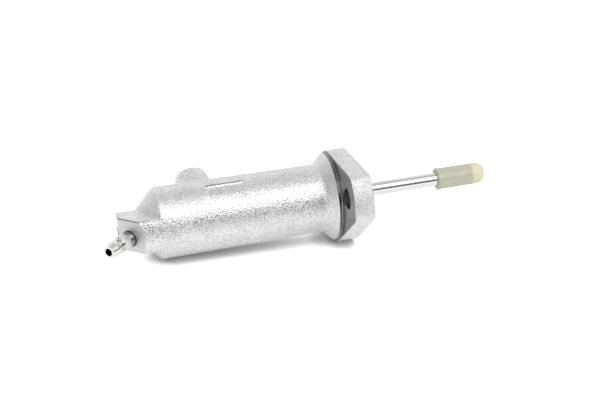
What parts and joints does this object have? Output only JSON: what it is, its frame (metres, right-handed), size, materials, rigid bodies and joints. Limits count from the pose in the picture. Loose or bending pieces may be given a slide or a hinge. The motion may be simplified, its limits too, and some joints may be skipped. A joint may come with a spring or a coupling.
{
  "type": "clutch slave cylinder",
  "caption": "Cast aluminium hydraulic cylinder with a two-eared flange, angled bleed screw, side port and steel pushrod with a nylon tip.",
  "frame": {"origin": "on the bore axis in the flange's front face, which is the centre of its two bolt holes", "axes": "+X along the bore the way the pushrod leaves, +Z square to the level long sides of the flange"},
  "size_m": [0.1726, 0.073, 0.0398],
  "materials": {
    "cast_aluminium": "as cast and blasted, machined faces turned bright",
    "piston_aluminium": "turned and anodised clear",
    "cup_rubber": "smooth black rubber",
    "spring_steel": "bright spring steel",
    "rod_steel": "bright ground and plated rod",
    "natural_nylon": "translucent natural nylon",
    "boot_rubber": "matt black rubber",
    "zinc_steel": "bright zinc plate"
  },
  "bodies": {
    "housing": {"cylinder_body": "cast_aluminium", "stop_washer": "spring_steel", "retaining_ring": "spring_steel", "dust_boot": "boot_rubber", "piston_spring": "spring_steel"},
    "piston_group": {"piston": "piston_aluminium", "piston_cup": "cup_rubber", "front_seal": "cup_rubber", "spring_seat": "spring_steel", "rod_clip": "spring_steel"},
    "rod_group": {"pushrod": "rod_steel", "pushrod_tip": "natural_nylon"},
    "bleeder": {"bleed_screw": "zinc_steel"}
  },
  "joints": [
    {"name": "piston_slide", "type": "slide", "parent": "housing", "child": "piston_group", "axis": [1, 0, 0], "range_m": [-0.02, 0], "stiffness_N_per_m": 400, "springref_m": 0.03, "deforming": ["piston_spring"]},
    {"name": "rod_swivel", "type": "hinge", "parent": "piston_group", "child": "rod_group", "pos_m": [-0.02465, 0, 0], "axis": [0, 0, 1], "range_deg": [-2, 2], "stiffness_Nm_per_rad": 0.5, "deforming": ["dust_boot"]},
    {"name": "bleed_turn", "type": "hinge", "parent": "housing", "child": "bleeder", "pos_m": [-0.0983, -0.0098, -0.0009], "axis": [-0.7071, -0.7071, 0], "range_deg": [0, 360]}
  ]
}
